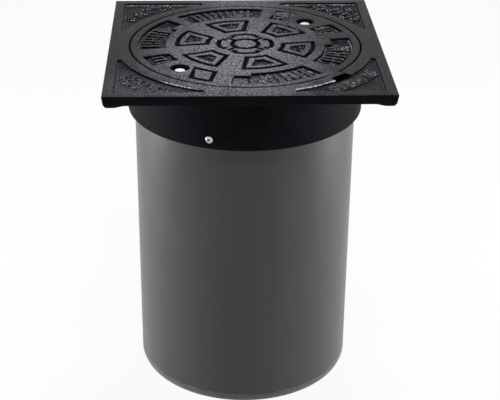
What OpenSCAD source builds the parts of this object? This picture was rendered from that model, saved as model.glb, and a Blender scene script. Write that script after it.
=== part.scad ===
// Telescopic pit cover: a square cast frame with a round bolted lid, held on a plastic riser pipe.
// Millimetres. Z is up, the origin is the centre of the pipe's lower end.
// Angles are counted from +X, so -90 is the front.

/* [Riser pipe] */
// Outside diameter of the pipe
pipe_od = 315; // [290:1:400]
// Wall of the pipe
pipe_wall = 7.7; // [5:0.1:10]
// Length of the pipe
pipe_length = 476; // [300:1:800]
// Height of the bevel at the pipe's lower end
pipe_bevel_height = 5; // [2:0.5:20]
// Depth of that bevel into the wall
pipe_bevel_depth = 2; // [0.5:0.1:3]
// Width of the groove that the collar screws run in
groove_width = 8; // [6:0.5:12]
// Depth of that groove
groove_depth = 2; // [1:0.1:3]

/* [Frame] */
// How far the sides of the square stand out from the raised ring
side_margin = 10.5; // [10:0.1:30]
// Thickness of the square flange
plate_thickness = 8; // [7:0.5:10]
// Radius of the upright corners
corner_radius = 3; // [1:0.5:8]
// How far the edge falls below the top
skirt_depth = 14; // [10:0.5:18]
// Thickness of the edge wall
skirt_wall = 8; // [5:0.5:10]
// How far the sides lean in on their way down
skirt_draft = 2.4; // [0:0.1:4]
// How much deeper the corner feet reach than the edge
foot_depth = 4.5; // [0:0.5:10]
// Length of the flat part of a corner foot
foot_flat = 1; // [0.5:0.5:20]
// Length of the sweep from a foot up to the edge
foot_sweep = 22; // [6:1:60]
// Radius of the lower outside corner of a foot
foot_radius = 6; // [2:0.5:8]
// Width of the border round the sunk corner panels
border_width = 14.3; // [8:0.1:20]
// Depth of the corner panels
panel_depth = 3.5; // [1:0.1:5]
// Distance from a centre line to the blunt tips of the panels
panel_tip = 58.5; // [45:0.5:90]
// Distance from the raised ring to the bars in the panels
panel_bar_gap = 9; // [6:0.5:10]
// Length of those bars
panel_bar_length = 15; // [8:0.5:15]
// Height of those bars
panel_bar_height = 2.7; // [1:0.1:3]
// Width of the raised ring round the lid
ring_width = 17.3; // [14:0.1:20]
// Depth of the collar's lower edge below the top
collar_depth = 90; // [60:1:140]
// Wall of the collar
collar_wall = 8.2; // [5:0.1:9]
// Gap between the pipe and the collar
collar_gap = 1.2; // [0.8:0.1:2]
// Bevel at the collar's lower edge
collar_bevel = 1.5; // [0.5:0.1:2]
// Thickness of the ledge that carries the lid
ledge_thickness = 8; // [6:0.5:12]
// Width of that ledge
ledge_width = 15.2; // [12:0.1:18]
// Wall round the lid pocket below the flange
seat_wall = 7.8; // [5:0.1:12]

/* [Lid] */
// How far the lid reaches past the pipe on each side
lid_overlap = 4; // [2:0.5:6]
// Gap between the lid and the frame
lid_gap = 1.7; // [1:0.1:2.5]
// Height of the lid's rim, which is the depth of its pocket
rim_height = 16; // [14:0.5:20]
// Width of the rim
rim_width = 10; // [6:0.5:11]
// Thickness of the lid's plate
lid_plate = 9; // [8:0.5:10]
// Depth of the pattern
pattern_depth = 4.5; // [1:0.1:5]
// Thickness of a rib
rib_thickness = 6; // [4:0.5:10]
// Depth of the ribs below the plate
rib_depth = 15; // [8:0.5:20]
// Gap between a rib and the ledge that it passes over
rib_gap = 1; // [0.5:0.1:2]
// Radius of the ring rib under the lid
ring_rib_radius = 90; // [70:1:98]
// Diameter of the boss under the middle of the lid
hub_boss_diameter = 44; // [30:1:80]

/* [Lid pattern] */
// Angle of the first of the six pockets
pattern_angle = 45; // [40:1:50]
// Radius of the middle disc
disc_radius = 16; // [12:0.5:18]
// Width of the grooves in the middle
hub_groove = 5; // [3:0.5:6]
// Outer radius of the four blocks round the disc
block_radius = 35; // [30:0.5:38]
// Width of the plain ring between the blocks and the six pockets
inner_web = 11; // [4:0.5:16]
// Width of the plain ring between the six pockets and the outer row
outer_web = 14.5; // [8:0.5:20]
// Half angle of a pocket at its inner end
pocket_half_inner = 17; // [12:0.5:20]
// Half angle of a pocket at its outer end
pocket_half_outer = 20; // [15:0.5:23]
// Width of the groove round the island in a pocket
island_groove = 5; // [3:0.5:6]
// Width of the island's rim round its own small pocket
island_rim = 8.5; // [6:0.5:10]
// Half angle of the blocks round the disc
block_half_angle = 26; // [20:1:30]
// Width of the plain border round the outer row
lid_border = 11.5; // [10:0.5:16]
// Length of the outer row, from the border inwards
outer_row_length = 37.5; // [30:0.5:40]
// How far the step at the end of a long pocket stands out
step_depth = 9.5; // [4:0.5:12]
// Angle that the step takes up
step_angle = 11; // [6:0.5:14]
// Width of an anti-slip bar
bar_width = 4; // [2:0.5:5]
// Angle from one bar to the next
bar_pitch = 4.5; // [4:0.1:6]
// Height of the anti-slip bars above the pattern's floor
bar_height = 3.4; // [1:0.1:4]

/* [Pry slot] */
// Angle of the slot beside the lid
pry_angle = -46; // [-60:1:-30]
// Width of the slot
pry_width = 29; // [20:0.5:40]
// Depth of the slot below the top
pry_depth = 12; // [8:0.5:13]
// Wall of the cup round the slot
pry_wall = 5; // [3:0.5:6]
// How far the lid's tab reaches out over the slot
tab_length = 8.5; // [5:0.5:10]
// Thickness of that tab
tab_thickness = 5; // [3:0.5:6]
// Gap beside the tab
tab_gap = 1.5; // [0.5:0.1:2]

/* [Lid bolts] */
// Distance from the clear opening in to the middle of a lid bolt
bolt_inset = 19; // [17:0.5:22]
// Angle of the first lid bolt, the other is opposite
bolt_angle = 45; // [42:1:48]
// Thread diameter of a lid bolt
bolt_diameter = 8; // [6:1:10]
// Length of a lid bolt under its head
bolt_length = 30; // [26:1:40]
// Size of its hexagon across the flats
bolt_flats = 13; // [10:1:16]
// Height of its head
bolt_head_height = 5.3; // [4:0.1:6]
// Outside diameter of its washer
washer_diameter = 16; // [15:0.5:22]
// Thickness of its washer
washer_thickness = 1.6; // [1:0.1:2]
// Clear hole in the lid and in the washer
bolt_hole = 9; // [8.5:0.1:11]
// Gap between the bolt and its thread in the frame
thread_gap = 0.1; // [0.05:0.01:0.2]
// Diameter of the counterbore in the lid
counterbore_diameter = 25; // [22:0.5:28]
// Depth of that counterbore
counterbore_depth = 10.2; // [8:0.1:11]
// Wall of the lid's boss round the counterbore
boss_wall = 3.5; // [2.5:0.1:5]
// Width of a frame lug
lug_width = 34; // [28:1:40]
// Depth of the threaded boss below the lug
lug_boss_depth = 10; // [6:0.5:16]
// Diameter of that boss
lug_boss_diameter = 22; // [18:0.5:30]

/* [Collar screws] */
// Number of screws round the collar
screw_count = 3; // [3:1:6]
// Angle of the first screw
screw_angle = -108.4; // [-120:0.1:-95]
// Height of the screws above the collar's lower edge
screw_height = 15; // [10:0.5:30]
// Thread diameter of a screw
screw_diameter = 5; // [4:0.5:5.5]
// Diameter of its head
screw_head_diameter = 10.5; // [8:0.1:12]
// Height of its head
screw_head_height = 3.8; // [3:0.1:5]
// Width of the slots in its cross recess
recess_width = 1.2; // [0.8:0.1:1.6]
// Gap between its tip and the floor of the groove
screw_tip_gap = 0.3; // [0.1:0.1:0.6]

/* [Hidden] */

iron = "#2b2b2e";
plastic = "#5a5c5b";
zinc = "#c9ccd0";
cut = 1;

// Heights
top = pipe_length + rim_height + ledge_thickness;
ledge_top = top - rim_height;
collar_bottom = top - collar_depth;
screw_z = collar_bottom + screw_height;
counterbore_floor = top - counterbore_depth;
head_seat = counterbore_floor + washer_thickness;

// Radii
pipe_r = pipe_od / 2;
collar_bore_r = pipe_r + collar_gap;
collar_r = collar_bore_r + collar_wall;
lid_r = pipe_r + lid_overlap;
pocket_r = lid_r + lid_gap;
ring_r = pocket_r + ring_width;
seat_r = pocket_r + seat_wall;
opening_r = pocket_r - ledge_width;
bolt_circle_radius = opening_r - bolt_inset;
boss_r = counterbore_diameter / 2 + boss_wall;

half = ring_r + side_margin;
plate_size = 2 * half;
sectors = 6;
head_gap = 0.1;
bar_end_gap = 5;
faint_bar_height = panel_bar_height / 2;
foot_bottom = skirt_depth + foot_depth;
// The square before its sides are cut to their draft
blank_size = plate_size + 1;
panel_edge = half - border_width;

// Radii of the lid's pattern, from the rim inwards
outer_row_outer = lid_r - lid_border;
outer_row_inner = outer_row_outer - outer_row_length;
pocket_outer = outer_row_inner - outer_web;
pocket_inner = block_radius + hub_groove + inner_web;
diagonal = 45;

function ray(r, a) = [r * cos(a), r * sin(a)];
function arc(centre, r, from, to, steps) =
    [for (i = [0 : steps]) centre + ray(r, from + (to - from) * i / steps)];
// Angle that a distance takes up at a radius
function spread(distance, r) = asin(distance / r);

// A square with round corners
module rounded_square(size, r) {
    square([size - 2 * r, size], center = true);
    square([size, size - 2 * r], center = true);
    for (x = [-1, 1], y = [-1, 1])
        translate([x, y] * (size / 2 - r)) circle(r = r, $fn = 48);
}

// A ring cut between two radii
module ring(outer, inner) {
    difference() {
        circle(r = outer, $fn = 180);
        circle(r = inner, $fn = 180);
    }
}

// A piece of a ring whose sides are straight, with its own half angle at each end.
// The skew turns its inner end back and its outer end on.
module sector(inner, outer, angle, half_inner, half_outer, skew = 0) {
    near = [ray(inner, angle - skew - half_inner), ray(inner, angle - skew + half_inner)];
    far = [ray(outer, angle + skew - half_outer), ray(outer, angle + skew + half_outer)];
    reach = 0.3;
    intersection() {
        ring(outer, inner);
        polygon([
            near[0] + (near[0] - far[0]) * reach,
            far[0] + (far[0] - near[0]) * reach,
            ray(outer * (1 + reach), angle + skew),
            far[1] + (far[1] - near[1]) * reach,
            near[1] + (near[1] - far[1]) * reach
        ]);
    }
}

// The same piece with every side moved in by a distance
module inner_sector(inner, outer, angle, half_inner, half_outer, by, skew = 0) {
    sector(inner + by, outer - by, angle,
        half_inner - spread(by, inner + by), half_outer - spread(by, outer - by), skew);
}

// A sunk pocket with an island in it, and a small pocket in the island
module island_pocket(inner, outer, angle, half_inner, half_outer) {
    difference() {
        sector(inner, outer, angle, half_inner, half_outer);
        inner_sector(inner, outer, angle, half_inner, half_outer, island_groove);
    }
    inner_sector(inner, outer, angle, half_inner, half_outer, island_groove + island_rim);
}

// Outline of one side of the frame, seen straight on, from the top down to the feet
function side_outline() =
    let (
        side = half - skirt_draft,
        lean = skirt_draft / foot_bottom,
        start = half - lean * (foot_bottom - foot_radius),
        bend = [side - foot_radius, foot_radius - foot_bottom],
        blend = bend[0] - foot_flat - foot_sweep,
        bend_steps = 6,
        steps = 12,
        right = concat(
            [[half + lean * cut, cut], [start, foot_radius - foot_bottom]],
            arc(bend, foot_radius, -90 / bend_steps, -90, bend_steps - 1),
            [for (i = [0 : steps])
                [blend + foot_sweep * (1 - i / steps),
                 -skirt_depth - foot_depth * (1 + cos(180 * i / steps)) / 2]]
        ),
        count = len(right)
    )
    concat(right, [for (i = [1 : count]) [-right[count - i][0], right[count - i][1]]]);

// The square flange with its drafted edge wall and corner feet
module flange() {
    intersection() {
        union() {
            translate([0, 0, top - plate_thickness])
                linear_extrude(plate_thickness) rounded_square(blank_size, corner_radius);
            translate([0, 0, top - foot_bottom])
                linear_extrude(foot_bottom) difference() {
                    rounded_square(blank_size, corner_radius);
                    square(plate_size - 2 * skirt_wall, center = true);
                }
        }
        drafted_block();
    }
}

// The block that both the front outline and the side outline leave standing
module drafted_block() {
    intersection() {
        translate([0, half + cut, top]) rotate([90, 0, 0])
            linear_extrude(plate_size + 2 * cut) polygon(side_outline());
        translate([-half - cut, 0, top]) rotate([90, 0, 90])
            linear_extrude(plate_size + 2 * cut) polygon(side_outline());
    }
}

// The collar with the seat of the lid, before the pocket and the opening are cut
module collar_body() {
    slope = seat_r - collar_r;
    rotate_extrude($fn = 180) polygon([
        [0, top - plate_thickness],
        [seat_r, top - plate_thickness],
        [seat_r, ledge_top - ledge_thickness + slope],
        [collar_r, ledge_top - ledge_thickness],
        [collar_r, collar_bottom + collar_bevel],
        [collar_r - collar_bevel, collar_bottom],
        [0, collar_bottom]
    ]);
}

// The hollow inside the frame: the lid's pocket, the clear opening and the pipe's socket
module frame_hollow() {
    rotate_extrude($fn = 180) polygon([
        [0, top + cut],
        [pocket_r, top + cut],
        [pocket_r, ledge_top],
        [opening_r, ledge_top],
        [opening_r, ledge_top - ledge_thickness],
        [collar_bore_r, ledge_top - ledge_thickness],
        [collar_bore_r, collar_bottom + collar_bevel],
        [collar_bore_r + collar_bevel, collar_bottom],
        [collar_bore_r + collar_bevel, collar_bottom - cut],
        [0, collar_bottom - cut]
    ]);
}

// One sunk corner panel, blunt at both tips
module corner_panel() {
    difference() {
        translate([panel_tip, panel_tip]) square(panel_edge - panel_tip);
        circle(r = ring_r, $fn = 180);
    }
}

// A row of raised bars along an arc, each pointing to the middle of the lid
module bar_row(inner, outer, from, to, count) {
    for (i = [0 : count - 1])
        rotate(from + (to - from) * i / (count - 1))
            translate([inner, -bar_width / 2]) square([outer - inner, bar_width]);
}

// The rows of bars in the corner panels, as [quarter turns, half angle, count, height]
panel_rows = [
    [0, 13, 8, panel_bar_height],
    [1, 10, 6, faint_bar_height],
    [2, 10, 6, faint_bar_height],
    [3, 11, 7, panel_bar_height]
];

// The relief on the floor of the corner panels, with a low band under the front right row
module panel_relief() {
    row_inner = ring_r + panel_bar_gap;
    row_outer = row_inner + panel_bar_length;
    for (p = panel_rows)
        rotate(90 * p[0]) linear_extrude(p[3])
            bar_row(row_inner, row_outer, diagonal - p[1], diagonal + p[1], p[2]);
    band = panel_rows[3];
    rotate(90 * band[0]) linear_extrude(faint_bar_height)
        sector(row_inner - bar_width / 2, row_outer + bar_width, diagonal, band[1] + 2, band[1] + 1);
}

// The slot beside the lid, which cuts through the raised ring into the corner panel
module pry_slot() {
    reach = ring_r + cut;
    rotate(pry_angle) translate([0, 0, top - pry_depth])
        linear_extrude(pry_depth + cut) intersection() {
            translate([opening_r, -pry_width / 2]) square([reach - opening_r, pry_width]);
            circle(r = reach, $fn = 180);
        }
}

// The cup under the flange that closes the slot from below
module pry_cup() {
    width = pry_width + 2 * pry_wall;
    start = pocket_r + cut;
    rotate(pry_angle) translate([start, -width / 2, top - pry_depth - pry_wall])
        cube([ring_r + pry_wall - start, width, pry_depth + pry_wall - plate_thickness / 2]);
}

// The two places of the lid bolts
module at_bolts() {
    for (turn = [0, 180])
        rotate(bolt_angle + turn) translate([bolt_circle_radius, 0]) children();
}

// A lug that reaches in from the ledge to a lid bolt
module lug() {
    reach = opening_r - bolt_circle_radius + ledge_width / 2;
    translate([0, 0, ledge_top - ledge_thickness])
        linear_extrude(ledge_thickness) {
            circle(d = lug_width, $fn = 96);
            translate([0, -lug_width / 2]) square([reach, lug_width]);
        }
    translate([0, 0, ledge_top - ledge_thickness - lug_boss_depth])
        cylinder(d = lug_boss_diameter, h = lug_boss_depth + cut, $fn = 96);
}

// The places of the collar screws, with +Z pointing out of the collar
module at_screws() {
    for (i = [0 : screw_count - 1])
        rotate([0, 0, screw_angle + 360 * i / screw_count])
            translate([0, 0, screw_z]) rotate([0, 90, 0]) children();
}

module frame() {
    color(iron) {
        difference() {
            union() {
                flange();
                collar_body();
                pry_cup();
            }
            frame_hollow();
            pry_slot();
            for (turn = [0 : 90 : 270])
                rotate(turn) translate([0, 0, top - panel_depth])
                    linear_extrude(panel_depth + cut) corner_panel();
            at_screws() cylinder(r = screw_diameter / 2 + thread_gap, h = collar_r + cut, $fn = 48);
        }
        translate([0, 0, top - panel_depth]) panel_relief();
        difference() {
            at_bolts() lug();
            at_bolts() translate([0, 0, collar_bottom])
                cylinder(r = bolt_diameter / 2 + thread_gap, h = collar_depth, $fn = 48);
        }
    }
}

// The four blocks and the grooves round the disc in the middle of the lid
module hub_grooves() {
    inner_groove = disc_radius + hub_groove;
    notch = 5;
    ring(inner_groove, disc_radius);
    for (turn = [0 : 90 : 270]) {
        sector(block_radius, block_radius + hub_groove, turn, block_half_angle, block_half_angle - 1);
        rotate(turn + 45) translate([inner_groove - cut, -hub_groove / 2])
            square([block_radius - inner_groove + cut, hub_groove]);
        for (side = [-1, 1])
            sector(block_radius - hub_groove, block_radius + hub_groove / 2,
                turn + side * (block_half_angle + notch - cut), notch, notch - cut / 2);
    }
}

// The long pockets of the outer row, as [middle angle, half angle, end that has the step]
long_pockets = [[104, 26, 0], [162.5, 25, -1], [286, 25, -1], [345.5, 23, 1]];
// The short pockets beside the bolts, as [middle angle, half angle]
side_pockets = [[63, 6.5], [25, 7], [206, 7]];
// The skewed one that has an island, as [middle angle, inner half angle, outer half angle, skew]
skewed_pocket = [242, 9, 6.5, 2.3];

// A long pocket, with a step in one of its inner corners
module long_pocket(angle, half_angle, stepped_end) {
    difference() {
        sector(outer_row_inner, outer_row_outer, angle, half_angle, half_angle);
        if (stepped_end != 0)
            sector(outer_row_inner - step_depth, outer_row_inner + step_depth,
                angle + stepped_end * half_angle, step_angle, step_angle);
    }
}

// Everything that is sunk into the top of the lid
module pattern() {
    for (i = [0 : sectors - 1])
        island_pocket(pocket_inner, pocket_outer, pattern_angle + i * 360 / sectors,
            pocket_half_inner, pocket_half_outer);
    hub_grooves();
    for (p = long_pockets) long_pocket(p[0], p[1], p[2]);
    for (p = side_pockets)
        sector(outer_row_inner, outer_row_outer, p[0], p[1], p[1]);
    sector(outer_row_inner, outer_row_outer,
        skewed_pocket[0], skewed_pocket[1], skewed_pocket[2], skewed_pocket[3]);
}

// Raised bars in a long pocket, clear of its step: long ones with pairs of short ones between them
module pocket_relief(angle, half_angle, stepped_end) {
    inner = outer_row_inner + island_groove;
    length = outer_row_outer - island_groove - inner;
    short = (length - bar_width) / 2;
    free = 2 * (half_angle - bar_end_gap) - abs(stepped_end) * step_angle;
    last = 2 * floor(free / bar_pitch / 2);
    for (i = [0 : last])
        rotate(angle - stepped_end * step_angle / 2 + (i - last / 2) * bar_pitch)
            translate([inner, -bar_width / 2])
                if (i % 2 == 0)
                    square([length, bar_width]);
                else
                    for (x = [0, length - short])
                        translate([x, 0]) square([short, bar_width]);
}

// One rib from the middle to the rim, shallow where it passes over the ledge
module lid_rib() {
    under = top - lid_plate;
    end = lid_r - rim_width + cut;
    over_ledge = ledge_top + rib_gap;
    turn_up = opening_r - 2 * lid_gap;
    rotate([90, 0, 0]) translate([0, 0, -rib_thickness / 2])
        linear_extrude(rib_thickness) polygon([
            [0, under + cut],
            [end, under + cut],
            [end, over_ledge],
            [turn_up, over_ledge],
            [turn_up - rib_depth / 2, under - rib_depth],
            [0, under - rib_depth]
        ]);
}

module lid() {
    under = top - lid_plate;
    color(iron) {
        difference() {
            union() {
                translate([0, 0, under]) cylinder(r = lid_r, h = lid_plate, $fn = 180);
                translate([0, 0, ledge_top]) linear_extrude(rim_height - lid_plate + cut)
                    ring(lid_r, lid_r - rim_width);
                rotate(pry_angle) translate([lid_r - cut, tab_gap - pry_width / 2, top - tab_thickness])
                    cube([tab_length + cut, pry_width - 2 * tab_gap, tab_thickness]);
                for (i = [0 : sectors - 1])
                    rotate(pattern_angle + (i + 0.5) * 360 / sectors) lid_rib();
                translate([0, 0, under - rib_depth / 2]) linear_extrude(rib_depth / 2 + cut)
                    ring(ring_rib_radius + rib_thickness / 2, ring_rib_radius - rib_thickness / 2);
                translate([0, 0, under - rib_depth])
                    cylinder(d = hub_boss_diameter, h = rib_depth + cut, $fn = 96);
                at_bolts() translate([0, 0, ledge_top])
                    cylinder(r = boss_r, h = rim_height - lid_plate + cut, $fn = 96);
            }
            translate([0, 0, top - pattern_depth]) linear_extrude(pattern_depth + cut) pattern();
            at_bolts() translate([0, 0, counterbore_floor])
                cylinder(d = counterbore_diameter, h = counterbore_depth + cut, $fn = 96);
            at_bolts() translate([0, 0, ledge_top - cut])
                cylinder(d = bolt_hole, h = rim_height, $fn = 48);
        }
        translate([0, 0, top - pattern_depth]) {
            linear_extrude(bar_height) {
                for (p = long_pockets) pocket_relief(p[0], p[1], p[2]);
                for (p = side_pockets)
                    bar_row(outer_row_inner + 2 * island_groove, outer_row_outer - 2 * island_groove,
                        p[0] - bar_pitch, p[0] + bar_pitch, 3);
            }
            linear_extrude(pattern_depth)
                inner_sector(outer_row_inner, outer_row_outer, skewed_pocket[0],
                    skewed_pocket[1], skewed_pocket[2], island_groove, skewed_pocket[3]);
        }
    }
}

module pipe() {
    inside = pipe_r - pipe_wall;
    color(plastic) rotate_extrude($fn = 180) polygon([
        [inside, 0],
        [pipe_r - pipe_bevel_depth, 0],
        [pipe_r, pipe_bevel_height],
        [pipe_r, screw_z - groove_width / 2],
        [pipe_r - groove_depth, screw_z - groove_width / 2],
        [pipe_r - groove_depth, screw_z + groove_width / 2],
        [pipe_r, screw_z + groove_width / 2],
        [pipe_r, pipe_length],
        [inside, pipe_length]
    ]);
}

// A hexagon bolt with its upper corners taken off, head seat at zero, shank down
module hex_bolt() {
    across_corners = bolt_flats / cos(30);
    flat_r = 0.97 * bolt_flats / 2;
    intersection() {
        cylinder(d = across_corners, h = bolt_head_height, $fn = 6);
        cylinder(r1 = flat_r + 2 * bolt_head_height, r2 = flat_r, h = bolt_head_height, $fn = 96);
    }
    translate([0, 0, -bolt_length]) cylinder(d = bolt_diameter, h = bolt_length + cut, $fn = 48);
}

module lid_bolts() {
    color(zinc) translate([0, 0, head_seat]) at_bolts() hex_bolt();
}

module bolt_washers() {
    color(zinc) translate([0, 0, counterbore_floor]) at_bolts()
        linear_extrude(washer_thickness) difference() {
            circle(d = washer_diameter, $fn = 96);
            circle(d = bolt_hole, $fn = 48);
        }
}

// A domed screw with a cross recess, pointing out along +Z, head seat at zero
module pan_screw(length) {
    r = screw_head_diameter / 2;
    side = 0.45 * screw_head_height;
    dome = screw_head_height - side;
    recess = 0.55 * screw_head_diameter;
    steps = 6;
    difference() {
        union() {
            rotate_extrude($fn = 96) polygon(concat(
                [[0, 0], [r, 0], [r, side]],
                [for (i = [1 : steps - 1])
                    [r * cos(90 * i / steps), side + dome * sin(90 * i / steps)]],
                [[0, screw_head_height]]
            ));
            translate([0, 0, -length]) cylinder(d = screw_diameter, h = length + cut, $fn = 48);
        }
        for (turn = [0, 90])
            rotate(turn) translate([-recess / 2, -recess_width / 2, side])
                cube([recess, recess_width, screw_head_height]);
    }
}

module collar_screws() {
    seat = collar_r + head_gap;
    tip = pipe_r - groove_depth + screw_tip_gap;
    color(zinc) at_screws() translate([0, 0, seat]) rotate(45) pan_screw(seat - tip);
}

frame();
lid();
pipe();
lid_bolts();
bolt_washers();
collar_screws();
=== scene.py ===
import math
from collections import namedtuple

import bmesh
import bpy
import numpy as np
from mathutils import Matrix, Vector, noise
from mathutils.bvhtree import BVHTree


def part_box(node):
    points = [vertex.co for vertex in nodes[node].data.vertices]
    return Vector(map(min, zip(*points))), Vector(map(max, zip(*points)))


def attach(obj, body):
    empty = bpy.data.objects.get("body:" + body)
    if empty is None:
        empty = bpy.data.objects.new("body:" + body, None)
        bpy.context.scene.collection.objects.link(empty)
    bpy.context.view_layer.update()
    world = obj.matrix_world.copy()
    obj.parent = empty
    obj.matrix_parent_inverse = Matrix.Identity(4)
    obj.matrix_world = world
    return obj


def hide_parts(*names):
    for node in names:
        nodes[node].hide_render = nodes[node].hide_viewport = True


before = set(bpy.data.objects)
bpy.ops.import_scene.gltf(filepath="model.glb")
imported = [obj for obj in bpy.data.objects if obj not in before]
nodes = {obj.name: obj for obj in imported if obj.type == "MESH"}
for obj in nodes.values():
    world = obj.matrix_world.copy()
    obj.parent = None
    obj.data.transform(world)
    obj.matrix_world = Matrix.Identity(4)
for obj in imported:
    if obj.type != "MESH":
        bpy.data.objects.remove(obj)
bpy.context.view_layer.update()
scene = bpy.context.scene
MM = 0.001

# The camera as fitted to the photo: radians, metres, and the lens for a sensor in millimetres
CAMERA_PITCH, CAMERA_YAW, CAMERA_ROLL = 0.4757, 0.0397, 0.0078
CAMERA_TARGET = Vector((0, 0, 0.25))
CAMERA_DISTANCE = 1.94636
CAMERA_LENS = 93.7
CAMERA_SENSOR = 36
CAMERA_SHIFT = (0.01195, 0.00305)
CAMERA_CLIP_END = 50

# Places on the castings
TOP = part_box("frame")[1][2]         # height of the top
RING = 180.5 * MM                   # radius of the outer edge of the raised ring
GAP = 162.7 * MM                    # radius of the gap round the lid
PANEL_WALL = 176.7 * MM             # from the middle to the outer walls of the corner panels
PANEL_EDGE = PANEL_WALL - 1.2 * MM  # where the rough floors of the panels end

# Zones of the castings, for the wear, the painted highlights and the painted shade. Depths are in
# mm under the top
RING_ZONE, RING_DEPTH = 2.5 * MM, 2.5
GAP_ZONE, GAP_DEPTH = 2 * MM, 3
RIM_DEPTH = 1.05
BACK_CORNER_Y = (PANEL_WALL - 2 * MM, PANEL_WALL + 0.3 * MM)
BACK_CORNER_Z = (TOP - 4 * MM, TOP - 1.7 * MM)
BARS_RADIUS, BARS_TURN, BARS_DEPTH = (189.5 * MM, 206.5 * MM), (-60, -30), 2.2
GROOVE_Z = (TOP - 4.8 * MM, TOP - 3.9 * MM)
ISLANDS_RADIUS = 104 * MM
BLOCK_RADIUS, BLOCK_TURN = 160 * MM, (232, 256)
HOLE_DEPTH = 2.8
DARK_GAP_Y = 120 * MM               # behind this the gap's rounded edges get the lit copy of the iron, in front the darker copy as painted shade

# Bare metal and painted glints on the rounded edges, 0 to 1. The ring's painted glint shows where
# its edge faces the front by more than a share, and on the left not where it merges with the plate.
# The back corners get a painted highlight, and the bars and the lid's rims partly painted glints,
# most at the lid's front and right
WEAR_LEAST, WEAR_ELSEWHERE = 0.05, 0.1
BACK_CORNER_HIGHLIGHT, BARS_WEAR_AND_GLINT = 0.7, 0.3
LID_WEAR_AND_GLINT, LID_FRONT_WEAR_AND_GLINT = 0.55, 0.9
RING_FACES, RING_FACES_OVER = 0.74, 0.05
RING_MERGES, RING_MERGES_OVER = 0.93, 0.02
LID_WEAR_AND_GLINT_RADIUS = GAP - 3 * MM
LID_FRONT = 90 * MM

# Rounding of the castings' sharp edges, and the shares of it that the edges get
SHARP = math.radians(32)
SMOOTH = math.radians(50)
FRAME_ROUNDING = 1.8 * MM
LID_ROUNDING = 1.1 * MM
ROUNDING_STEPS = 3
RING_EDGE_REACH, RING_EDGE_DEPTH = 0.6 * MM, 0.5
WALL_REACH, WALL_DEPTH = 0.1 * MM, 5
RIM_EDGE_DEPTH = 0.3
RING_SHARE, PANEL_SHARE = 1.0, 0.9
FRAME_EDGE_SHARE, FRAME_CORNER_SHARE = 0.4, 0.45
RIM_SHARE, BAR_SHARE, LID_CORNER_SHARE = 1.0, 0.45, 0.7
WELD = 0.02 * MM

# Material slots of the castings: the lit copy of the iron on level faces, and darker copies as
# painted
# shade on upright faces and in grooves. A face counts as level where its normal's z is over a
# limit:
# a low one on the ring, the bars and the back corners, and a high one on the panels' lumps
LEVEL_SLOT, UPRIGHT_SLOT, GROOVE_SLOT = 0, 1, 2
LEVEL_WORN = 0.3
LEVEL_PLAIN = 0.72
LEVEL_PANEL = 0.79
LEVEL_NEVER = 2.0

# Rough floors, in mm: size and least number of the mesh's squares, depth of the floors, the
# depth that the lumps keep under the top, how deep a patch starts, and the rows of its rim
GRAIN, LEAST_SQUARES = 0.65, 8
LID_FLOOR, FRAME_FLOOR = 4.5, 3.5
LUMPS_BELOW_TOP = 0.4
PATCH_SINK = 0.12
PATCH_RIM = 3
# Lumps, groups of them and fine specks in a metre, and the specks' share of a lump's height
LID_LUMPS, FRAME_LUMPS = 400, 290
LUMP_GROUPS, LUMP_SPECKS = 90, 900
SPECK_HEIGHT = 0.12

# Worn paint under a painted highlight: the middle and scale of the lighter area, the lighter back
# edge, and the front left corner with lighter specks
SHEEN_AND_WEAR_SCALE = (1.4, 0.85, 1.0)
SHEEN_AND_WEAR_MIDDLE = (-0.022, -0.045, 0.5)
BACK_SHEEN_AND_WEAR = (0.0, 0.178, 0.5)
LIGHTER_CORNER = (-0.135, -0.165, 0.5)

# Colours of worn iron, which also carry the painted highlights and glints, and the tint of all
# iron's gloss
WORN_AND_GLINTING_TOPS = (0.34, 0.336, 0.375, 1)
BARE_METAL_AND_GLINT = (0.8, 0.79, 0.84, 1)
IRON_TINT = (0.94, 0.91, 1.0, 1)

# The pipe's cut lower end: height of the lighter band, its cut surface with a painted reflection of
# the bevel, and of the painted highlight line at its top
CUT_LOW, CUT_HIGH = 9.8 * MM, 11 * MM
CUT_LINE = 10.6 * MM

# The collar screws: angle of the one in front, and the cross in each head
SCREW_TURN = -108.4
SCREW_STEP = 120
CROSS_REACH = 3.4 * MM
CROSS_TOP, CROSS_BOTTOM = 0.3 * MM, 2.8 * MM
CROSS_WALL, CROSS_FLOOR = 0.3, 0.97
SCREW_SMOOTH = math.radians(40)

# The studio: floor, and the light of the sky
WHITE = (1, 1, 1, 1)
FLOOR_COLOUR = (0.72, 0.72, 0.72, 1)
FLOOR_SIDE = 8
FLOOR_GLOW = 0.9
SKY_STRENGTH = 0.15


def rgb(red, green, blue):
    return red, green, blue, 1


# Camera

def view_axes(pitch, yaw, roll):
    """Right, down and forward axes of the photo's camera."""
    turn = Matrix.Rotation(yaw, 3, "Z")
    rows = Matrix((
        (1, 0, 0),
        (0, -math.sin(pitch), -math.cos(pitch)),
        (0, math.cos(pitch), -math.sin(pitch)),
    ))
    tilt = Matrix.Rotation(roll, 3, "Z")
    return tilt @ rows @ turn


def set_camera():
    axes = view_axes(CAMERA_PITCH, CAMERA_YAW, CAMERA_ROLL)
    right, down, forward = (Vector(axes[i]) for i in range(3))
    data = bpy.data.cameras.new("camera")
    data.sensor_fit = "HORIZONTAL"
    data.sensor_width = CAMERA_SENSOR
    data.lens = CAMERA_LENS
    data.shift_x, data.shift_y = CAMERA_SHIFT
    data.clip_end = CAMERA_CLIP_END
    camera = bpy.data.objects.new("camera", data)
    scene.collection.objects.link(camera)
    place = CAMERA_TARGET - CAMERA_DISTANCE * forward
    camera.matrix_world = Matrix((
        (right.x, -down.x, -forward.x, place.x),
        (right.y, -down.y, -forward.y, place.y),
        (right.z, -down.z, -forward.z, place.z),
        (0, 0, 0, 1),
    ))
    scene.camera = camera


set_camera()
scene.view_settings.view_transform = "Standard"


# Node helpers

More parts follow.
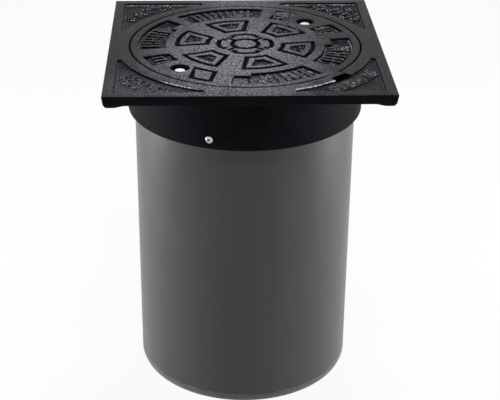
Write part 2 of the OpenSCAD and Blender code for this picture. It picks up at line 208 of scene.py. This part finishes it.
class Graph:
    """Adds shader nodes to an emptied node tree and links them."""

    def __init__(self, tree):
        self.tree = tree
        tree.nodes.clear()

    def feed(self, socket, value):
        """Links a socket to another one, or sets its value."""
        if isinstance(value, bpy.types.NodeSocket):
            self.tree.links.new(value, socket)
        else:
            socket.default_value = value

    def add(self, kind, inputs=None, **settings):
        made = self.tree.nodes.new(kind)
        for key, value in settings.items():
            setattr(made, key, value)
        for key, value in (inputs or {}).items():
            self.feed(made.inputs[key], value)
        return made

    def math(self, operation, a, b=0.0):
        return self.add("ShaderNodeMath", {0: a, 1: b}, operation=operation).outputs[0]

    def sum(self, a, b):
        return self.math("ADD", a, b)

    def times(self, a, b):
        return self.math("MULTIPLY", a, b)

    def most(self, a, b):
        return self.math("MAXIMUM", a, b)

    def span(self, value, low, high, to_low=0.0, to_high=1.0):
        """Maps low to high onto to_low to to_high, and keeps to these outside it."""
        return self.add("ShaderNodeMapRange", {
            "Value": value, "From Min": low, "From Max": high,
            "To Min": to_low, "To Max": to_high}).outputs[0]

    def swing(self, noise, to_low, to_high):
        """Maps the part of a noise that most of it lies in onto to_low to to_high."""
        return self.span(noise, 0.3, 0.7, to_low, to_high)

    def mix(self, factor, a, b):
        made = self.add("ShaderNodeMix", data_type="RGBA")
        sockets = {socket.identifier: socket for socket in made.inputs}
        for name, value in (("Factor_Float", factor), ("A_Color", a), ("B_Color", b)):
            self.feed(sockets[name], value)
        return next(s for s in made.outputs if s.identifier == "Result_Color")

    def noise(self, vector, scale, detail=3.0, roughness=0.55):
        return self.add("ShaderNodeTexNoise", {
            "Vector": vector, "Scale": scale, "Detail": detail, "Roughness": roughness}).outputs[0]

    def cells(self, vector, scale):
        made = self.add("ShaderNodeTexVoronoi", {"Vector": vector, "Scale": scale}, feature="F1")
        return made.outputs["Distance"]

    def distance(self, a, b):
        made = self.add("ShaderNodeVectorMath", {0: a, 1: b}, operation="DISTANCE")
        return made.outputs["Value"]

    def place(self):
        return self.add("ShaderNodeTexCoord").outputs["Object"]

    def height(self, vector):
        return self.add("ShaderNodeSeparateXYZ", {0: vector}).outputs["Z"]

    def bump(self, height, strength, distance):
        return self.add("ShaderNodeBump", {
            "Height": height, "Strength": strength, "Distance": distance}).outputs[0]


def new_material(name):
    """A material, the graph of its nodes, and the inputs of its Principled shader."""
    material = bpy.data.materials.new(name)
    material.use_nodes = True
    graph = Graph(material.node_tree)
    output = graph.add("ShaderNodeOutputMaterial")
    shader = graph.add("ShaderNodeBsdfPrincipled")
    graph.feed(output.inputs["Surface"], shader.outputs[0])
    return material, graph, shader.inputs


# Materials

def cast_iron(name, ior, deep, light, dust, rough, grain, speckle):
    """Sand-cast iron under black paint, with the grain of the mould, dust in its patches,
    and bare spots where feet and the "edge" attribute of the faces wear it. Part of the lighter
    spots
    is painted highlight: a sheen round the middle of the lid, and glints on edges and lumps."""
    material, g, shader = new_material(name)
    at = g.place()
    coarse = g.noise(at, 300, 4.0, 0.75)
    fine = g.noise(at, 1100, 2.0, 0.6)
    grains = g.cells(at, 420)
    patches = g.noise(at, 26, 3.0, 0.6)
    blotches = g.noise(at, 90, 3.0, 0.6)
    paint = g.mix(g.span(patches, 0.35, 0.68), deep, light)
    dusty = g.mix(g.span(blotches, 0.48, 0.72), paint, dust)

    # Feet wear the tops between the middle of the lid and the front edge, and at the back edge; a
    # painted highlight lightens the same places
    drawn = g.add("ShaderNodeVectorMath", {0: at, 1: SHEEN_AND_WEAR_SCALE}, operation="MULTIPLY").outputs[0]
    away = g.sum(g.distance(drawn, SHEEN_AND_WEAR_MIDDLE), g.swing(patches, 0.03, -0.03))
    behind = g.distance(at, BACK_SHEEN_AND_WEAR)
    sheen_and_wear = g.most(g.span(away, 0.06, 0.19, 1.0, 0.05), g.span(behind, 0.03, 0.085, 0.5, 0.0))
    raised = g.span(g.height(at), TOP - 2.5 * MM, TOP - 0.8 * MM, 0.22, 1.0)
    # Lighter specks on the floor of the front left panel
    lighter_corner = g.span(g.distance(at, LIGHTER_CORNER), 0.02, 0.1, 0.23, 0.0)
    # The light speckles on the tops are partly worn paint and partly painted glints
    worn_and_glinting_tops = g.times(g.span(coarse, 0.438, 0.602, 0.06, 1.15), g.span(blotches, 0.35, 0.65, 0.7, 1.0))
    worn_and_glinting_tops = g.times(worn_and_glinting_tops, g.most(g.times(sheen_and_wear, raised), lighter_corner))
    speckled = g.mix(g.times(worn_and_glinting_tops, speckle), dusty, WORN_AND_GLINTING_TOPS)

    # Bare metal and painted glints on rounded edges and on the tops of lumps
    edge = g.add("ShaderNodeAttribute", attribute_name="edge").outputs["Fac"]
    bare_and_glinting = g.times(edge, g.span(coarse, 0.445, 0.595, 0.1, 1.0))
    g.feed(shader["Base Color"], g.mix(g.times(bare_and_glinting, speckle), speckled, BARE_METAL_AND_GLINT))

    low, high = rough
    g.feed(shader["Roughness"], g.sum(g.swing(patches, low, high), g.swing(coarse, -0.06, 0.08)))
    sand = g.sum(g.sum(coarse, g.times(grains, -0.5)), g.times(fine, 0.3))
    sand = g.times(sand, g.sum(g.times(sheen_and_wear, 0.8), 0.4))
    g.feed(shader["Normal"], g.bump(sand, 1.0, grain * MM))
    g.feed(shader["IOR"], ior)
    g.feed(shader["Specular Tint"], IRON_TINT)
    return material


def riser_plastic():
    """Dark grey extruded pipe plastic: faint lines along its length, and a lower end lightened by
    its cut surface, by a painted reflection and by a painted highlight line.
    """
    material, g, shader = new_material("grey_pipe_plastic")
    at = g.place()
    drawn = g.add("ShaderNodeMapping", {"Vector": at, "Scale": (1, 1, 0.02)}).outputs[0]
    lines = g.noise(drawn, 420, 3.0, 0.6)
    bands = g.noise(drawn, 40, 2.0, 0.5)
    clouds = g.noise(at, 14, 3.0, 0.6)
    specks = g.noise(at, 1400, 2.0, 0.6)
    tone = g.sum(g.times(bands, 0.5), g.times(clouds, 0.5))
    plain = g.mix(g.span(tone, 0.35, 0.65), rgb(0.034, 0.0353, 0.035), rgb(0.039, 0.0403, 0.04))
    scratches = g.times(g.span(lines, 0.62, 0.8), 0.35)
    scuffed = g.mix(scratches, plain, rgb(0.095, 0.098, 0.097))

    # The cut end, lighter as a cut surface and as a painted reflection of the bevel, and the
    # painted highlight line at the top of it
    low = g.sum(g.height(at), g.swing(clouds, -1.2 * MM, 1.2 * MM))
    cut = g.times(g.span(low, CUT_LOW, CUT_HIGH, 1.0, 0.0), g.swing(clouds, 0.7, 1.0))
    cut_and_reflection = g.mix(cut, scuffed, rgb(0.09, 0.094, 0.092))
    off = g.math("ABSOLUTE", g.math("SUBTRACT", low, CUT_LINE))
    highlight_line = g.times(g.span(off, 0.3 * MM, 1.0 * MM, 1.0, 0.0), g.span(bands, 0.45, 0.6, 0.1, 0.8))
    g.feed(shader["Base Color"], g.mix(highlight_line, cut_and_reflection, rgb(0.15, 0.154, 0.152)))

    g.feed(shader["Roughness"], g.sum(g.swing(clouds, 0.33, 0.40), g.swing(lines, -0.02, 0.03)))
    drawing = g.sum(g.times(lines, 0.7), g.times(specks, 0.3))
    g.feed(shader["Normal"], g.bump(drawing, 0.12, 0.2 * MM))
    g.feed(shader["IOR"], 1.43)
    return material


def zinc_plating(name, light, dark):
    """Zinc plating with a faint crystal pattern."""
    material, g, shader = new_material(name)
    at = g.place()
    spangle = g.cells(at, 500)
    dull = g.noise(at, 300, 3.0, 0.6)
    g.feed(shader["Base Color"], g.mix(g.span(spangle, 0.2, 0.8), light, dark))
    g.feed(shader["Roughness"], g.swing(dull, 0.22, 0.4))
    g.feed(shader["Normal"], g.bump(g.noise(at, 1800, 2.0, 0.6), 0.15, 0.2 * MM))
    g.feed(shader["Metallic"], 1.0)
    return material


# Three copies of one painted iron: the lit one for level faces, and darker ones, painted shade, for
# upright faces and grooves
lit_level_iron = cast_iron(
    "lit_level_black_iron", ior=1.10, deep=rgb(0.004, 0.004, 0.0062),
    light=rgb(0.007, 0.007, 0.0098), dust=rgb(0.012, 0.0118, 0.0155),
    rough=(0.26, 0.34), grain=1.8, speckle=1.0)
shaded_upright_iron = cast_iron(
    "shaded_upright_black_iron", ior=1.09, deep=rgb(0.0042, 0.0042, 0.0062),
    light=rgb(0.0058, 0.0058, 0.008), dust=rgb(0.007, 0.007, 0.0092),
    rough=(0.5, 0.6), grain=0.1, speckle=0.02)
shaded_groove_iron = cast_iron(
    "shaded_groove_black_iron", ior=1.05, deep=rgb(0.0022, 0.0022, 0.003),
    light=rgb(0.003, 0.003, 0.004), dust=rgb(0.004, 0.004, 0.0052),
    rough=(0.6, 0.7), grain=0.8, speckle=0.05)
plastic = riser_plastic()
zinc = zinc_plating("bright_zinc", rgb(0.84, 0.85, 0.86), rgb(0.56, 0.57, 0.59))
washer_zinc = zinc_plating("washer_zinc", rgb(0.30, 0.30, 0.305), rgb(0.16, 0.16, 0.165))
screw_zinc = zinc_plating("dull_zinc", rgb(0.62, 0.625, 0.635), rgb(0.40, 0.405, 0.415))
# Near black zinc: painted shade in the screws' crosses
shaded_cross_zinc = zinc_plating("shaded_cross_zinc", rgb(0.035, 0.034, 0.033), rgb(0.02, 0.02, 0.02))


# Zones of the castings: each "in" or "on" function says whether a point lies in one

def within(value, limits):
    return limits[0] < value < limits[1]


def radius_of(at):
    return math.hypot(at.x, at.y)


def turn_of(at):
    """Degrees round the middle, from -180 to 180."""
    return math.degrees(math.atan2(at.y, at.x))


def less_deep(at, depth):
    """Whether a point is less than a depth in mm under the top."""
    return at.z > TOP - depth * MM


def on_ring(at):
    return abs(radius_of(at) - RING) < RING_ZONE and less_deep(at, RING_DEPTH)


def in_back_corner(at):
    """The corner between floor and wall at the back of the back panels, where a painted highlight
    lies.
    """
    return within(at.y, BACK_CORNER_Y) and within(at.z, BACK_CORNER_Z)


def on_front_bars(at):
    """The ribs in the front right panel."""
    in_row = within(radius_of(at), BARS_RADIUS) and within(turn_of(at), BARS_TURN)
    return in_row and less_deep(at, BARS_DEPTH)


def in_gap(at):
    return abs(radius_of(at) - GAP) < GAP_ZONE and less_deep(at, GAP_DEPTH)


def on_rims(at):
    """The rims of the lid's pattern."""
    return radius_of(at) < GAP and less_deep(at, RIM_DEPTH)


def in_groove(at):
    """The narrow grooves of the hub, the islands and the square block, darkened with painted shade.
    """
    at_block = radius_of(at) < BLOCK_RADIUS and within(turn_of(at) % 360, BLOCK_TURN)
    return (radius_of(at) < ISLANDS_RADIUS or at_block) and within(at.z, GROOVE_Z)


def in_hole(at):
    """The low spots of the back panels' rough floors, which get the darker copy as painted shade.
    """
    return at.y > 0 and radius_of(at) > RING and at.z < TOP - HOLE_DEPTH * MM


def level_at(at, rounded):
    """How far up a face has to look to count as level, and so to get the lit copy of the iron,
    worn and with painted highlights as the top is; other faces get the darker copy, a painted
    shade.
    """
    # The rounded edges of the front of the gap and of the lid's rims get the darker copy: painted
    # shade
    if rounded and (in_gap(at) and at.y < DARK_GAP_Y or on_rims(at)):
        return LEVEL_NEVER
    bare_and_glinting = on_ring(at) or in_back_corner(at) or on_front_bars(at)
    return LEVEL_WORN if bare_and_glinting else LEVEL_PLAIN


def wear_and_glint_at(at):
    """Bare metal and painted glints on rounded edges: most on the front of the ring and on the
    lid's rims.
    """
    if on_ring(at):
        facing = -at.y / radius_of(at)
        merging = (RING_MERGES - facing) / RING_MERGES_OVER if at.x < 0 else 1.0
        return max(WEAR_LEAST, min(1.0, (facing - RING_FACES) / RING_FACES_OVER, merging))
    if in_back_corner(at):
        return BACK_CORNER_HIGHLIGHT
    if on_front_bars(at):
        return BARS_WEAR_AND_GLINT
    if radius_of(at) < LID_WEAR_AND_GLINT_RADIUS:
        return LID_FRONT_WEAR_AND_GLINT if at.y < -LID_FRONT or at.x > LID_FRONT else LID_WEAR_AND_GLINT
    return WEAR_ELSEWHERE


def frame_weight(at, convex):
    """The ring's outer edge and the panel floors' outer corners are rounded most."""
    if convex:
        off = abs(radius_of(at) - RING)
        at_edge = off < RING_EDGE_REACH and less_deep(at, RING_EDGE_DEPTH)
        return RING_SHARE if at_edge else FRAME_EDGE_SHARE
    at_wall = max(at.y, abs(at.x)) > PANEL_WALL - WALL_REACH
    return PANEL_SHARE if at_wall and less_deep(at, WALL_DEPTH) else FRAME_CORNER_SHARE


def lid_weight(at, convex):
    """The rims of the pattern are rounded more than the bars and the floor's corners."""
    if convex:
        return RIM_SHARE if less_deep(at, RIM_EDGE_DEPTH) else BAR_SHARE
    return LID_CORNER_SHARE


# Castings

def weld(node):
    """The points and faces of a CAD node, welded and turned outwards."""
    work = bmesh.new()
    work.from_mesh(nodes[node].data)
    bmesh.ops.remove_doubles(work, verts=work.verts, dist=WELD)
    bmesh.ops.recalc_face_normals(work, faces=work.faces)
    work.verts.index_update()
    points = [v.co.copy() for v in work.verts]
    faces = [[v.index for v in f.verts] for f in work.faces]
    work.free()
    return points, faces


def new_object(name, points, faces, *materials):
    mesh = bpy.data.meshes.new(name)
    mesh.from_pydata(points, [], faces)
    for material in materials:
        mesh.materials.append(material)
    made = bpy.data.objects.new(name, mesh)
    scene.collection.objects.link(made)
    return made


def weigh_edges(mesh, weight_at):
    """Gives each sharp edge a share of the full rounding."""
    work = bmesh.new()
    work.from_mesh(mesh)
    layer = work.edges.layers.float.new("bevel_weight_edge")
    for edge in work.edges:
        if len(edge.link_faces) == 2 and edge.calc_face_angle() > SHARP:
            middle = (edge.verts[0].co + edge.verts[1].co) / 2
            edge[layer] = weight_at(middle, edge.is_convex)
    work.to_mesh(mesh)
    work.free()


def round_edges(made, width, weight_at):
    """Rounds the sharp edges of an object by their shares, for good."""
    weigh_edges(made.data, weight_at)
    bevel = made.modifiers.new("rounding", "BEVEL")
    bevel.width = width
    bevel.segments = ROUNDING_STEPS
    bevel.limit_method = "WEIGHT"
    bevel.use_clamp_overlap = False
    bevel.material = UPRIGHT_SLOT
    depsgraph = bpy.context.evaluated_depsgraph_get()
    rounded = bpy.data.meshes.new_from_object(made.evaluated_get(depsgraph))
    made.modifiers.clear()
    made.data = rounded


def set_wear_and_glints(mesh, wear_and_glint):
    """Keeps the share of bare metal and painted glint of each face for its material."""
    mesh.attributes.new("edge", "FLOAT", "FACE").data.foreach_set("value", wear_and_glint)


def finish_iron(made, node):
    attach(made, "root")
    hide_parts(node)


def casting(node, name, width, weight_at):
    """A copy of a cast node whose sharp edges are rounded, as a sand casting's are."""
    made = new_object(name, *weld(node), lit_level_iron, shaded_upright_iron, shaded_groove_iron)
    round_edges(made, width, weight_at)
    mesh = made.data
    low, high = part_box(node)
    for point in mesh.vertices:
        point.co = [min(max(point.co[k], low[k]), high[k]) for k in range(3)]
    wear_and_glint = np.zeros(len(mesh.polygons), np.float32)
    for face in mesh.polygons:
        rounded = face.material_index == UPRIGHT_SLOT
        if rounded:
            wear_and_glint[face.index] = wear_and_glint_at(face.center)
        level = face.normal.z > level_at(face.center, rounded)
        face.material_index = LEVEL_SLOT if level else UPRIGHT_SLOT
        # Grooves get the darkest copy of the iron: painted shade
        if in_groove(face.center):
            face.material_index = GROOVE_SLOT
        face.use_smooth = True
    set_wear_and_glints(mesh, wear_and_glint)
    mesh.set_sharp_from_angle(angle=SMOOTH)
    finish_iron(made, node)


casting("frame", "frame_casting", FRAME_ROUNDING, frame_weight)
casting("lid", "lid_casting", LID_ROUNDING, lid_weight)


# Rough floors

# Inner and outer radius in mm, middle and half angle in degrees, lump height and fill in mm,
# and how bare the lumps are for each mm that they rise above a height over the fill; the bare tops
# are partly painted glints
Patch = namedtuple("Patch", "inner outer middle half_angle height fill bare above")

LID_PATCHES = [
    Patch(116, 149, 61.5, 5.0, 3.2, 1.6, 0.6, 0.5),
    Patch(128, 153, 64, 8.5, 1.5, 3.4, 0.5, 0.3),
    Patch(115, 147, 25.5, 6.0, 3.2, 1.0, 0.6, 0.5),
    Patch(118, 147, 31, 4.0, 1.5, 3.2, 0.6, 0.3),
    Patch(115, 147, 206, 6.2, 2.6, 0.3, 0.3, 0.6),
    Patch(115, 147, 104, 25, 1.4, 0.3, 0.5, 0.5),
    Patch(115, 147, 164, 21, 1.2, 0.4, 0.4, 0.4),
    Patch(115, 147, 290, 20, 1.3, 1.2, 0.9, 0.4),
    Patch(122, 147, 342, 19, 1.8, 0.8, 0.9, 0.6),
    Patch(93.5, 101, 45, 14, 1.6, 3.0, 0.6, 0.4),
    Patch(123, 149, 264, 6.0, 1.0, 1.6, 0.16, -1.0),
]
# The small pockets in the six islands
LID_PATCHES += [Patch(63, 88, 45 + 60 * turn, 11.5, 3.4, 1.0, 0.4, 0.6) for turn in range(6)]
FRAME_PATCHES = [
    Patch(184, 228, 45, 15, 3.8, 0.0, 4.5, 1.2),
    Patch(190, 218, 135, 13, 3.2, 0.0, 1.6, 0.9),
    Patch(190, 220, 225, 13, 2.6, 0.0, 0.7, 0.8),
    Patch(186, 210, 315, 13.5, 3.8, 0.6, 3.0, 0.9),
]


def clamp(value):
    return max(0.0, min(1.0, value))


def lumps(x, y, cell, seed):
    """Height of a rough cast floor: cells of uneven size, with bare spots between groups."""
    place = Vector((x * cell + seed * 17.3, y * cell, seed * 5.1))
    near = noise.voronoi(place)[0][0]
    wide, fine = LUMP_GROUPS, LUMP_SPECKS
    group = noise.noise(Vector((x * wide - seed * 3.7, y * wide, seed * 2.9)))
    small = noise.noise(Vector((x * fine, y * fine, seed * 1.3)))
    return max(0.0, 1.1 - 1.6 * near) * clamp(0.75 + 1.6 * group) + SPECK_HEIGHT * small


def rough_patch(solid, depth, cell, patch, seed):
    """The squares of one rough patch, kept where they show above the casting: a polar grid,
    with four corners a square, and for each corner its place, whether it shows, and its share of
    bare metal and painted glint."""
    width, arc = patch.outer - patch.inner, math.radians(2 * patch.half_angle)
    across = max(LEAST_SQUARES, round(width / GRAIN))
    along = max(LEAST_SQUARES, round(arc * (patch.inner + patch.outer) / 2 / GRAIN))
    grid = []
    for i in range(across + 1):
        radius = patch.inner + width * i / across
        for j in range(along + 1):
            angle = math.radians(
                patch.middle - patch.half_angle + 2 * patch.half_angle * j / along)
            x, y = radius * MM * math.cos(angle), radius * MM * math.sin(angle)
            inside = (PANEL_EDGE - max(abs(x), abs(y))) / MM
            cover = clamp(min(i, across - i, j, along - j, inside) / PATCH_RIM)
            rise = cover * (patch.fill + patch.height * lumps(x, y, cell, seed))
            rise = min(rise, depth - LUMPS_BELOW_TOP)
            z = TOP + (rise - depth - PATCH_SINK) * MM
            found = solid.ray_cast(Vector((x, y, TOP + MM)), Vector((0, 0, -1)))[0]
            shows = found is not None and z > found.z
            grid.append((x, y, z, shows, patch.bare * (rise - patch.fill - patch.above)))
    for i in range(across):
        for j in range(along):
            a = i * (along + 1) + j
            corners = [grid[n] for n in (a, a + along + 1, a + along + 2, a + 1)]
            if any(corner[3] for corner in corners):
                yield corners


def rough_floors(name, node, patches, depth, cell, level_over):
    """One mesh of rough patches that lie on the floors of a casting."""
    solid = BVHTree.FromPolygons(*weld(node))
    points, places, faces, wear_and_glint = [], {}, [], []
    for seed, patch in enumerate(patches, 1):
        for corners in rough_patch(solid, depth, cell, patch, seed):
            face = []
            for corner in corners:
                if corner[:3] not in places:
                    places[corner[:3]] = len(points)
                    points.append(corner[:3])
                face.append(places[corner[:3]])
            faces.append(face)
            wear_and_glint.append(clamp(max(corner[4] for corner in corners)))
    made = new_object(name, points, faces, lit_level_iron, shaded_upright_iron)
    for face in made.data.polygons:
        # Steep faces and low spots get the darker copy of the iron: painted shade
        level = face.normal.z > level_over and not in_hole(face.center)
        face.material_index = LEVEL_SLOT if level else UPRIGHT_SLOT
        face.use_smooth = True
    set_wear_and_glints(made.data, wear_and_glint)
    finish_iron(made, node)


rough_floors("lid_rough_floors", "lid", LID_PATCHES, LID_FLOOR, LID_LUMPS, LEVEL_PLAIN)
rough_floors("frame_rough_floors", "frame", FRAME_PATCHES, FRAME_FLOOR, FRAME_LUMPS, LEVEL_PANEL)


# Screws, pipe and bolts

def in_cross(face, middle, outmost):
    """Whether a face of a screw is a wall or the floor of the cross in its head."""
    at, out = face.center, radius_of(face.center)
    half_step = SCREW_STEP / 2
    turn = math.radians((turn_of(at) - SCREW_TURN + half_step) % SCREW_STEP - half_step)
    aside = math.hypot(out * math.sin(turn), at.z - middle)
    facing = abs(face.normal.x * at.x + face.normal.y * at.y) / out
    in_reach = aside < CROSS_REACH and outmost - CROSS_BOTTOM < out < outmost - CROSS_TOP
    return in_reach and (facing < CROSS_WALL or facing > CROSS_FLOOR)


def screws_with_shaded_cross():
    """The collar screws, with painted shade in the cross of each head."""
    points, faces = weld("collar_screws")
    made = new_object("collar_screw_heads", points, faces, screw_zinc, shaded_cross_zinc)
    low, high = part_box("collar_screws")
    middle = (low[2] + high[2]) / 2
    outmost = max(radius_of(point) for point in points)
    for face in made.data.polygons:
        face.material_index = 1 if in_cross(face, middle, outmost) else 0
        face.use_smooth = True
    made.data.set_sharp_from_angle(angle=SCREW_SMOOTH)
    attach(made, "root")
    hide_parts("collar_screws")


screws_with_shaded_cross()

for node, material in (("pipe", plastic), ("lid_bolts", zinc), ("bolt_washers", washer_zinc)):
    held = nodes[node].data.materials
    held.clear()
    held.append(material)


# Studio

def area_light(name, place, aim, size, power):
    data = bpy.data.lights.new(name, "AREA")
    data.shape = "RECTANGLE"
    data.size, data.size_y = size
    data.energy = power
    made = bpy.data.objects.new(name, data)
    scene.collection.objects.link(made)
    turn = (Vector(aim) - Vector(place)).to_track_quat("-Z", "Y").to_matrix().to_4x4()
    made.matrix_world = Matrix.Translation(place) @ turn


def seen_directly(g):
    """1 for rays that show the background itself, straight on, in a mirror or through glass."""
    path = g.add("ShaderNodeLightPath")
    found = g.most(path.outputs["Is Camera Ray"], path.outputs["Is Glossy Ray"])
    return g.most(found, path.outputs["Is Transmission Ray"])


def light_sky():
    """A dim sky for the light, which shows as white."""
    world = bpy.data.worlds.new("world")
    scene.world = world
    world.use_nodes = True
    g = Graph(world.node_tree)
    output = g.add("ShaderNodeOutputWorld")
    soft = g.add("ShaderNodeBackground", {"Color": WHITE, "Strength": SKY_STRENGTH})
    white = g.add("ShaderNodeBackground", {"Color": WHITE, "Strength": 1.0})
    both = g.add("ShaderNodeMixShader", {
        0: seen_directly(g), 1: soft.outputs[0], 2: white.outputs[0]})
    g.feed(output.inputs["Surface"], both.outputs[0])


def pale_floor():
    """A floor that takes the shadow, and otherwise shows as nearly white."""
    material = bpy.data.materials.new("pale_floor")
    material.use_nodes = True
    g = Graph(material.node_tree)
    output = g.add("ShaderNodeOutputMaterial")
    lit = g.add("ShaderNodeBsdfDiffuse", {"Color": FLOOR_COLOUR})
    plain = g.add("ShaderNodeEmission", {"Color": WHITE, "Strength": 1.0})
    share = g.times(seen_directly(g), FLOOR_GLOW)
    mixed = g.add("ShaderNodeMixShader", {0: share, 1: lit.outputs[0], 2: plain.outputs[0]})
    g.feed(output.inputs["Surface"], mixed.outputs[0])
    side = FLOOR_SIDE
    corners = [(-side, -side, 0), (side, -side, 0), (side, side, 0), (-side, side, 0)]
    return new_object("floor", corners, [(0, 1, 2, 3)], material)


area_light("overhead", place=(0.1, -1.0, 2.6), aim=(0, 0, 0.45), size=(0.35, 0.35), power=30)
area_light("high_back", place=(0.15, 1.2, 2.5), aim=(0, 0, 0.5), size=(0.5, 0.5), power=38)
# Low side boxes: they light the pipe and the walls, and stay under the level of the top
area_light("left_box", place=(-1.7, 0.15, 0.25), aim=(0, 0, 0.25), size=(0.5, 0.46), power=36)
area_light("right_box", place=(1.7, 0.0, 0.25), aim=(0, 0, 0.25), size=(0.5, 0.46), power=33)
light_sky()
pale_floor()
